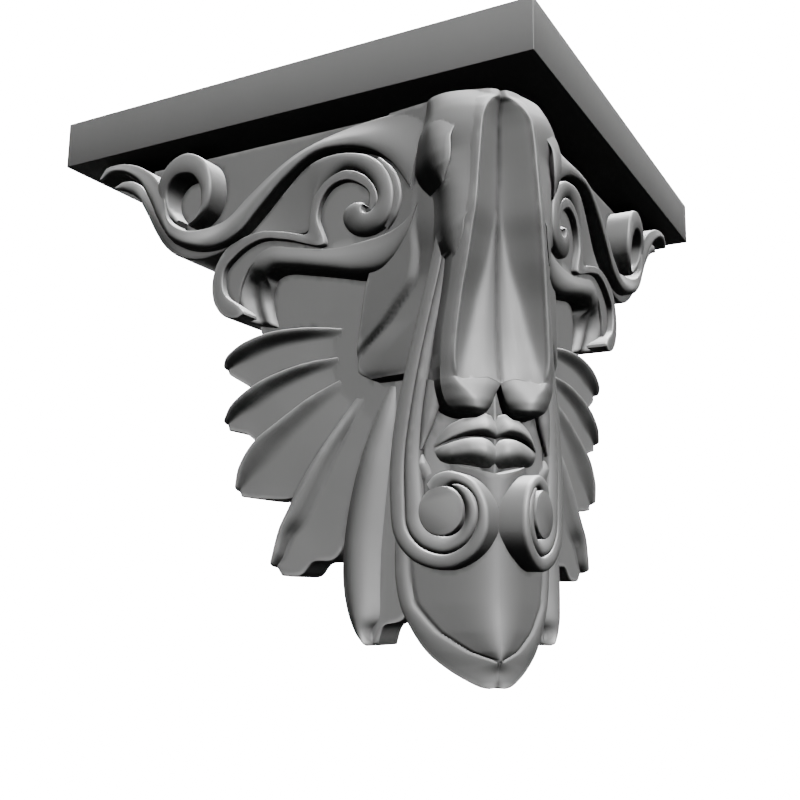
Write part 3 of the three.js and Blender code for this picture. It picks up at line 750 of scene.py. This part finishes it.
def channel_depth(u, inside, rim_u, rim_v, in_v, swell):
    """Depth of the tall leaf inside its rim: a wall off the rim that runs softly into the fluted floor."""
    wall = rim_v + np.hypot(np.maximum(rim_u - u, 0), RIM_ROUND) - RIM_ROUND
    reach = np.maximum(rim_u + rim_v - in_v, 1)
    parting = FLUTE_PARTING * np.exp(-(u / FLUTE_PARTING) ** 2)
    flute = in_v + parting - swell * np.sin(np.pi * np.clip(u / reach, 0, 1))
    floor = -FLUTE_SOFT * np.log(np.exp(-wall / FLUTE_SOFT) + np.exp(-flute / FLUTE_SOFT))
    lift = FLUTE_SOFT * np.log(1 + np.exp((rim_v - in_v) / FLUTE_SOFT))
    return floor + lift * (1 - inside) ** 2


def lobe_depth(inside, rim_v, in_v):
    """Depth of a lobe of the foot, from its crest to the notch between the two lobes."""
    return lerp(in_v, rim_v, np.cos(inside * np.pi / 2) ** LOBE_FULL)


def corner_leaf():
    """Each level is [up, outer edge across, depth, rim across, depth, inner edge across, depth, swell];
    the swell lifts the flutes of the channel, and the lobes of the foot have none."""
    channel = np.array([
        [1, 22, 50, 2.2, 35.5, 0, 46, 0],
        [-3.2, 22, 49, 2.4, 33.8, 0, 46, 0],
        [-6, 22, 48, 5.6, 32.2, 0, 46, 0],
        [-11, 21.5, 46, 9, 30.2, 0, 46, 0],
        [-17, 20, 42, 11.3, 28.8, 0, 45.6, 0],
        [-25, 19.5, 40, 12.2, 28.4, 0, 45.2, 0],
        [-41, 20, 38, 13.5, 28.3, 0, 41.6, 0],
        [-56, 21.3, 36, 14.6, 28.1, 0, 41.3, 0.4],
        [-68, 21.9, 36, 16, 29.4, 0, 41.8, 0.8],
        [-78, 22.2, 36, 17.1, 30.5, 0, 42, 1.1],
        [-93.5, 23.4, 38, 19, 33.3, 0, 41.6, 1.4],
        [-110, 25.2, 40, 20.5, 35, 0, 40.6, 1.5],
        [-120, 25.6, 40.3, 21, 35.7, 0, 39.2, 1.4],
        [-129.3, 25.3, 40.5, 20, 36.6, 0, 37, 0.8],
    ])
    foot = np.array([
        [FOOT_TOP, 25.3, 40.5, 20, 36.6, 0, 37, 0],
        [-132, 25, 40.6, 17.5, 35.2, 1, 37.6, 0],
        [-135, 24.3, 40.8, 14.5, 33.9, 2, 38.4, 0],
        [-138.5, 23, 40.8, 12.5, 32.8, 3.2, 39, 0],
        [-141.5, 20.8, 40.2, 11.8, 33, 4.8, 39.4, 0],
        [-143.5, 17, 39.8, 11.3, 34.8, 7, 39.4, 0],
        [-144.2, 14, 39.6, 11, 38, 8.6, 39.4, 0],
    ])
    outside, crest, floor = np.linspace(0, 0.3, 10), np.linspace(0.31, 0.41, 11), np.linspace(0.43, 1, 24)
    q = np.concatenate([outside, crest, floor])[None, :]
    side = np.minimum(q / RIM_AT, 1)
    inside = np.maximum(q - RIM_AT, 0) / (1 - RIM_AT)
    rows, edges = [], []
    for levels, steps in ((channel, 80), (foot, 24)):
        t = np.linspace(0, 1, steps + 1)
        up, out_u, out_v, rim_u, rim_v, in_u, in_v, swell = (
            spline(levels[:, [k]], t)[:, 0][:, None] for k in range(levels.shape[1]))
        u = np.where(q < RIM_AT, lerp(out_u, rim_u, side), lerp(rim_u, in_u + OVERLAP, inside))
        if levels is channel:
            inner = channel_depth(u, inside, rim_u, rim_v, in_v, swell)
        else:
            inner = lobe_depth(inside, rim_v, in_v)
        v = np.where(q < RIM_AT, lerp(out_v, rim_v, np.sin(side * np.pi / 2)), inner)
        ridge = RIM_RIDGE * np.exp(-((u - rim_u) / RIM_RIDGE) ** 2)
        v = v - ridge * smoothstep(up, *RIDGE_FOOT) * smoothstep(-up, *RIDGE_HEAD)
        wave = np.interp(u, FOOT_WAVE_AT, FOOT_WAVE)
        height = up + wave * np.exp(-((up - FOOT_TOP) / FOOT_WAVE_REACH) ** 2)
        rows.append(on_corner(u, v, height))
        edges.append(np.concatenate([out_u, in_u + OVERLAP, up], axis=1))
    front, edge = np.concatenate(rows), np.concatenate(edges)
    bed_first = on_corner(edge[:, 0], corner_bed(edge[:, 0], 0), edge[:, 2])
    bed_second = on_corner(edge[:, 1], corner_bed(edge[:, 1], 0), edge[:, 2])
    return closed_grid("corner_leaf", front, bed_first, bed_second)


def side_leaves():
    """Two leaves that lap over each other down the side of the tall leaf."""
    upper = [
        [28.6, -12, 47.5, 16, -10, 36, 3],
        [30.5, -19, 45, 20, -18, 35.2, 3.6],
        [31.2, -26, 44.5, 23.4, -25.5, 33.6, 4.2],
        [31, -33, 44, 23.6, -30, 32.8, 4.2],
        [29.5, -39, 43, 23.9, -36, 33, 3.4],
        [26, -45.8, 38.2, 25.4, -45.2, 37, 0],
    ]
    lower = [
        [27, 1, 56, 2.6, 1, 35.7, 6],
        [27.6, -6, 50, 5.2, -5, 32.9, 5.5],
        [28.6, -12, 46, 9.4, -11, 30.4, 4],
        [30, -19, 44, 11.7, -17, 29.1, 2.4],
        [28.5, -31, 44, 13, -29.5, 28.6, 1],
        [26.5, -40, 43.5, 13.6, -39, 28.5, 3.4],
        [25, -48, 42.5, 14.3, -47.5, 28.4, 4.6],
        [24.6, -55, 41.5, 14.9, -54, 28.4, 4.6],
        [24.6, -62, 41, 15.6, -58, 28.9, 4.4],
        [24.2, -67, 40.6, 18.3, -62.5, 29.6, 3.6],
        [23.3, -72.5, 39, 19, -69, 30.2, 2.6],
        [21.8, -78.3, 35, 21, -77.8, 33, 0],
    ]
    return [member(f"side_leaf_{k}", stations, turned_edge, 54, 20, corner_bed, on_corner)
            for k, stations in enumerate([upper, lower], 1)]


def face():
    """Plain ground behind the lips."""
    stations = [
        [27, -120, 56, OVERLAP, -120, 47, 1],
        [27, -146, 56, OVERLAP, -146, 46.5, 1],
        [27, -163, 56, OVERLAP, -163, 46.5, 1],
        [27, -176, 56, OVERLAP, -176, 41.5, 1],
        [27, -186, 56, OVERLAP, -186, 41.5, 1],
    ]
    return member("face", stations, roll, 24, 12, corner_bed, on_corner, seam=True)


def upper_lip():
    """Half of the upper lip, from the corner of the mouth to the middle."""
    stations = [
        [23.6, -155, 54.5, 23.2, -156.5, 54.5, 0],
        [18, -147.2, 50.5, 18, -153.6, 48, 2],
        [11, -143.6, 46, 11, -151.6, 43.2, 3],
        [5, -142, 44, 5, -151.4, 41.6, 3],
        [OVERLAP, -143.4, 44.4, OVERLAP, -153, 42.6, 2],
    ]
    return member("upper_lip", stations, low_crest, 40, 13, corner_bed, on_corner, seam=True)


def lower_lip():
    """Half of the lower lip, from the corner of the mouth to the middle."""
    stations = [
        [23.2, -157, 54.5, 21.5, -161.5, 54, 0.4],
        [18, -154.6, 50, 18, -163, 50.5, 3],
        [11, -152.6, 46, 11, -163.5, 47, 4],
        [5, -152.4, 44.6, 5, -164.6, 45, 4],
        [OVERLAP, -154, 45, OVERLAP, -165.2, 45.4, 3],
    ]
    return member("lower_lip", stations, roll, 40, 13, corner_bed, on_corner, seam=True)


def mouth_leaves():
    """Small leaves above and below the corner of the mouth."""
    above = [
        [27.5, -128, 50, 21, -131, 48, 1],
        [29, -143, 52, 23.5, -145, 51, 1.5],
        [29.5, -157, 54.5, 28, -157.5, 54.5, 0.5],
    ]
    below = [
        [31.5, -160, 57, 27, -159, 56, 0.3],
        [31.5, -164, 56.4, 26, -162, 55, 1],
        [28, -170, 56, 23, -166, 55, 0.8],
    ]
    return [member(f"mouth_leaf_{k}", stations, roll, 24, 10, corner_bed, on_corner)
            for k, stations in enumerate([above, below], 1)]


def block(name, low, high):
    """Box between two opposite corners."""
    (x0, y0, z0), (x1, y1, z1) = low, high
    vertices = [(x, y, z) for x in (x0, x1) for y in (y0, y1) for z in (z0, z1)]
    faces = [(0, 1, 3, 2), (4, 6, 7, 5), (0, 4, 5, 1), (2, 3, 7, 6), (0, 2, 6, 4), (1, 5, 7, 3)]
    return mesh_object(name, vertices, faces)


def shade(piece, degrees):
    """Smooth shading, with a hard edge where the surface turns by more than the given angle."""
    piece.data.shade_smooth()
    piece.data.set_sharp_from_angle(angle=math.radians(degrees))


def carving():
    """Both wings and the corner as one solid, cut off just below the slab."""
    half = joined("half_carving", [
        spandrel(), scroll_plinth(), long_scroll(), ring_curl(), ribbon(), spiral_roll(), leaf_floor(),
        roll_border(), cheek(), leaf_body(), fan_ground(), *feathers(), *strap(), volute_button(), chin(),
        corner_post(), corner_leaf(), *side_leaves(), face(), upper_lip(), lower_lip(), *mouth_leaves(),
    ])
    twin = mirrored("twin_carving", half)
    whole = joined("whole_carving", [half, twin])
    top = (FIX_DOWN - JOINT_GAP) * MM
    above = block("slab_space", (-1, -1, top), (1, 1, 1))
    trim = whole.modifiers.new("trim", "BOOLEAN")
    trim.operation = "DIFFERENCE"
    trim.solver = "MANIFOLD"
    trim.object = above
    carved = settled("carving", whole, [whole, above])
    shade(carved, CARVED_EDGE)
    return carved


def slab():
    """Plain board with its arrises just eased."""
    low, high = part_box("top_slab")
    board = block("slab", low, high)
    bevel = board.modifiers.new("arris", "BEVEL")
    bevel.width = SLAB_ARRIS * MM
    bevel.segments = 3
    result = settled("slab", board, [board])
    shade(result, SLAB_EDGE)
    return result


# Materials.

def read(items, name, width, kind):
    """Values of a mesh's items, one row for each."""
    values = np.empty(len(items) * width, kind)
    items.foreach_get(name, values)
    return values.reshape(-1, width)


def edge_bends(mesh):
    """Angle between the two faces at each edge, above 0 at a ridge and below 0 in a hollow."""
    work = bmesh.new()
    work.from_mesh(mesh)
    bends = np.array([edge.calc_face_angle_signed(0) for edge in work.edges])
    work.free()
    return bends


def softened(grid):
    """Grid with each cell's value shared with its neighbours, twice in each direction."""
    for axis in (0, 0, 1, 1, 2, 2):
        grid = (np.roll(grid, 1, axis) + 2 * grid + np.roll(grid, -1, axis)) / 4
    return grid


def sampled(grid, spots):
    """Values of a grid at places between the middles of its cells."""
    corner = np.floor(spots).astype(int)
    share = spots - corner
    values = np.zeros(len(spots))
    for step in np.ndindex(2, 2, 2):
        weight = np.prod(np.where(step, share, 1 - share), axis=1)
        values += weight * grid[tuple((corner + step).T)]
    return values


def longest_edges(mesh, length):
    """Longest edge of the face that each of the mesh's corners belongs to."""
    corner_length = length[read(mesh.loops, "edge_index", 1, int)[:, 0]]
    first_corner = read(mesh.polygons, "loop_start", 1, int)[:, 0]
    corners = read(mesh.polygons, "loop_total", 1, int)[:, 0]
    return np.repeat(np.maximum.reduceat(corner_length, first_corner), corners)


def mark_relief(piece):
    """Stores for the paint how sharply each place stands out as a ridge, above 0, or lies in a hollow; the
    paint gives ridges a painted highlight and hollows painted shade.
    """
    mesh = piece.data
    place = read(mesh.vertices, "co", 3, float) / MM
    pairs = read(mesh.edges, "vertices", 2, int)
    start, end = place[pairs[:, 0]], place[pairs[:, 1]]
    length = np.linalg.norm(end - start, axis=1)
    count = np.ceil(length / RELIEF_CELL).astype(int).clip(1)
    edge = np.repeat(np.arange(len(length)), count)
    part = (np.arange(len(edge)) - np.repeat(np.cumsum(count) - count, count) + 0.5) / count[edge]
    low = place.min(axis=0) - RELIEF_MARGIN * RELIEF_CELL
    cells = np.floor((lerp(start[edge], end[edge], part[:, None]) - low) / RELIEF_CELL).astype(int)
    grid = np.zeros(cells.max(axis=0) + RELIEF_MARGIN, np.float32)
    np.add.at(grid, tuple(cells.T), (edge_bends(mesh) * length / count)[edge])
    relief = sampled(softened(grid), (place - low) / RELIEF_CELL - 0.5)
    relief *= math.sqrt(2 * math.pi) / RELIEF_CELL ** 2
    corner_relief = relief[read(mesh.loops, "vertex_index", 1, int)[:, 0]]
    shown = longest_edges(mesh, length) < RELIEF_REACH
    stored = mesh.attributes.new("relief", "FLOAT", "CORNER")
    stored.data.foreach_set("value", np.where(shown, corner_relief, 0))


def linear(hex_colour):
    """Linear colour with alpha from an sRGB hex string."""
    channels = [int(hex_colour[i:i + 2], 16) / 255 for i in (0, 2, 4)]
    return [c / 12.92 if c <= 0.04045 else ((c + 0.055) / 1.055) ** 2.4 for c in channels] + [1]


def add(tree, kind, settings=(), **inputs):
    """New shader node with its settings; each input takes a value or a link from another node's output."""
    node = tree.nodes.new(kind)
    for name, value in dict(settings).items():
        setattr(node, name, value)
    for name, value in inputs.items():
        socket = node.inputs[name.replace("_", " ")]
        if isinstance(value, bpy.types.NodeSocket):
            tree.links.new(value, socket)
        else:
            socket.default_value = value
    return node


def satin_paint(name, dark, light, ridge_highlight, hollow_shade):
    """Satin grey paint on carved wood: brushed on by hand, so its grey drifts a little in soft patches and
    its sheen breaks up along fine brush marks; a paler grey on the ridges is a painted highlight and a
    darker grey in the hollows is painted shade."""
    material = bpy.data.materials.new(name)
    material.use_nodes = True
    tree = material.node_tree
    shader = tree.nodes["Principled BSDF"]
    shader.inputs["IOR"].default_value = 1.5
    shader.inputs["Specular IOR Level"].default_value = 1.0
    place = add(tree, "ShaderNodeTexCoord").outputs["Object"]
    shape = add(tree, "ShaderNodeAttribute", {"attribute_name": "relief"}).outputs["Fac"]
    colours = {"data_type": "RGBA"}

    patches = add(tree, "ShaderNodeTexNoise", Vector=place,
                  Scale=1 / (PATCH * MM), Detail=3.0, Roughness=0.55)
    drift = add(tree, "ShaderNodeMix", colours, Factor=patches.outputs["Fac"],
                A=linear(dark), B=linear(light))
    # Painted highlight: a paler grey on the ridges, where light would catch the carved edges.
    ridges = add(tree, "ShaderNodeMapRange", Value=shape, From_Min=PAINTED_HIGHLIGHT_BENDS[0], From_Max=PAINTED_HIGHLIGHT_BENDS[1])
    with_painted_highlight = add(tree, "ShaderNodeMix", colours, Factor=ridges.outputs["Result"],
                 A=drift.outputs["Result"], B=linear(ridge_highlight))
    # Painted shade: a darker grey in the hollows, where shade would fall.
    hollows = add(tree, "ShaderNodeMapRange", Value=shape, From_Min=PAINTED_SHADE_BENDS[0], From_Max=PAINTED_SHADE_BENDS[1])
    with_painted_shade = add(tree, "ShaderNodeMix", colours, Factor=hollows.outputs["Result"],
                A=with_painted_highlight.outputs["Result"], B=linear(hollow_shade))
    tree.links.new(with_painted_shade.outputs["Result"], shader.inputs["Base Color"])

    stretch = add(tree, "ShaderNodeMapping", Vector=place, Scale=STROKE_STRETCH)
    strokes = add(tree, "ShaderNodeTexNoise", Vector=stretch.outputs["Vector"],
                  Scale=1 / (STROKE * MM), Detail=2.0, Roughness=0.5)
    marks = strokes.outputs["Fac"]
    sheen = add(tree, "ShaderNodeMapRange", Value=marks, To_Min=SATIN[0], To_Max=SATIN[1])
    tree.links.new(sheen.outputs["Result"], shader.inputs["Roughness"])
    bump = add(tree, "ShaderNodeBump", Strength=STROKE_STRENGTH, Distance=STROKE_DEPTH * MM, Height=marks)
    tree.links.new(bump.outputs["Normal"], shader.inputs["Normal"])
    return material


def pale_paper():
    """Matt backdrop paper that glows, so that it stays white behind the object."""
    material = bpy.data.materials.new("pale_paper")
    material.use_nodes = True
    shader = material.node_tree.nodes["Principled BSDF"]
    shader.inputs["Base Color"].default_value = linear("F5F5F5")
    shader.inputs["Roughness"].default_value = 0.9
    shader.inputs["Emission Color"].default_value = linear("FFFFFF")
    shader.inputs["Emission Strength"].default_value = PALE
    return material


# Pieces.

carving_piece = carving()
mark_relief(carving_piece)
carving_piece.data.materials.clear()
# The carving's paint: two greys that drift at random, a paler grey for painted highlight on ridges and a
# dark grey for painted shade in hollows.
carving_paint = satin_paint("satin_paint_carving", "707070", "7C7C7C", "B0B0B0", "303030")
carving_piece.data.materials.append(carving_paint)
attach(carving_piece, "root")
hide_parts("carved_bracket")

slab_piece = slab()
slab_piece.data.materials.clear()
# The slab's paint also takes a paler grey for painted highlight and a darker grey for painted shade.
slab_paint = satin_paint("satin_paint_slab", "727272", "7A7A7A", "848484", "6A6A6A")
slab_piece.data.materials.append(slab_paint)
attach(slab_piece, "root")
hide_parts("top_slab")

# Studio: a pale sweep far below and behind, and soft lights from the front, from above and from behind.

# The sweep's sizes are in metres, its turn is in degrees, and the last two values are how bright the
# surroundings look to the camera and how bright they are for everything else.
FLOOR_Z = -0.75
SWEEP_REACH = 3.0
SWEEP_HEIGHT = 3.2
SWEEP_WIDE = 1.6
SWEEP_BEND = 1.0
SWEEP_STEPS = 13
SWEEP_TURN = 28.7
PALE = 20.0
DIM = 0.02


def sweep():
    """Pale floor that curves up into a backdrop."""
    profile = [(-SWEEP_REACH, 0)]
    for turn in np.linspace(0, np.pi / 2, SWEEP_STEPS):
        out = SWEEP_REACH - SWEEP_BEND + SWEEP_BEND * math.sin(turn)
        profile.append((out, SWEEP_BEND - SWEEP_BEND * math.cos(turn)))
    profile.append((SWEEP_REACH, SWEEP_HEIGHT))
    half = SWEEP_REACH * SWEEP_WIDE
    vertices, faces = [], []
    for out, up in profile:
        vertices += [(-half, out, FLOOR_Z + up), (half, out, FLOOR_Z + up)]
    for i in range(len(profile) - 1):
        faces.append((2 * i, 2 * i + 1, 2 * i + 3, 2 * i + 2))
    mesh = bpy.data.meshes.new("pale_floor")
    mesh.from_pydata(vertices, [], faces)
    mesh.shade_smooth()
    floor = bpy.data.objects.new("pale_floor", mesh)
    bpy.context.scene.collection.objects.link(floor)
    floor.rotation_euler.z = math.radians(SWEEP_TURN)
    floor.visible_diffuse = False
    floor.visible_glossy = False
    floor.data.materials.append(pale_paper())
    return floor


floor = sweep()


def soft_sun(name, azimuth, elevation, spread, strength, tone=True, sheen=True, shadow=False):
    """Even light from far away; azimuth 0 comes from the left wing's front and 90 from the right wing's.
    A light may give the paint its tone, its sheen or both."""
    light = bpy.data.lights.new(name, "SUN")
    light.angle = math.radians(spread)
    light.use_shadow = shadow
    light.energy = strength
    light.cycles.max_bounces = int(shadow)
    lamp = bpy.data.objects.new(name, light)
    lamp.visible_diffuse = tone
    lamp.visible_glossy = sheen
    turn, rise = math.radians(azimuth), math.radians(elevation)
    towards = Vector((math.sin(turn) * math.cos(rise), -math.cos(turn) * math.cos(rise), math.sin(rise)))
    lamp.rotation_euler = towards.to_track_quat("Z", "Y").to_euler()
    bpy.context.scene.collection.objects.link(lamp)


soft_sun("key", 61, 50, 14, 3.5)
soft_sun("key_balance", 29, 58, 14, 4, sheen=False)
soft_sun("low_sheen", 61, 30, 30, 4, tone=False)
soft_sun("top_sheen", 190, 62, 30, 20, tone=False)
soft_sun("back_fill", 225, 25, 60, 2, shadow=True)


def studio_world():
    """Surroundings that look pale to the camera and hardly light the object."""
    world = bpy.data.worlds.new("studio")
    world.use_nodes = True
    tree = world.node_tree
    background = tree.nodes["Background"]
    background.inputs["Color"].default_value = (1, 1, 1, 1)
    seen = add(tree, "ShaderNodeLightPath").outputs["Is Camera Ray"]
    strength = add(tree, "ShaderNodeMapRange", Value=seen, To_Min=DIM, To_Max=PALE)
    tree.links.new(strength.outputs["Result"], background.inputs["Strength"])
    bpy.context.scene.world = world


studio_world()

# Camera at the photograph's viewing angle, worked out from the slab's edges.

CAMERA = {
    "s": -137.55, "d": -359.05, "z": -216.0, "yaw": 28.7287, "pitch": 10.6049, "roll": 0.7955,
    "lens": 46.22, "sensor": 36, "nearest": 0.01,
}


def photo_camera():
    """Camera aimed by its yaw, pitch and roll."""
    yaw, pitch, tilt = (math.radians(CAMERA[key]) for key in ("yaw", "pitch", "roll"))
    look = Vector((-math.sin(yaw) * math.cos(pitch), math.cos(yaw) * math.cos(pitch), math.sin(pitch)))
    level = Vector((math.cos(yaw), math.sin(yaw), 0))
    up = level.cross(look)
    right = math.cos(tilt) * level + math.sin(tilt) * up
    upward = -math.sin(tilt) * level + math.cos(tilt) * up
    data = bpy.data.cameras.new("camera")
    data.lens = CAMERA["lens"]
    data.sensor_width = CAMERA["sensor"]
    data.clip_start = CAMERA["nearest"]
    camera = bpy.data.objects.new("camera", data)
    turn = Matrix((right, upward, -look)).transposed().to_4x4()
    place = on_wing(CAMERA["s"], CAMERA["d"], CAMERA["z"])
    camera.matrix_world = Matrix.Translation(Vector(place)) @ turn
    bpy.context.scene.collection.objects.link(camera)
    bpy.context.scene.camera = camera


photo_camera()
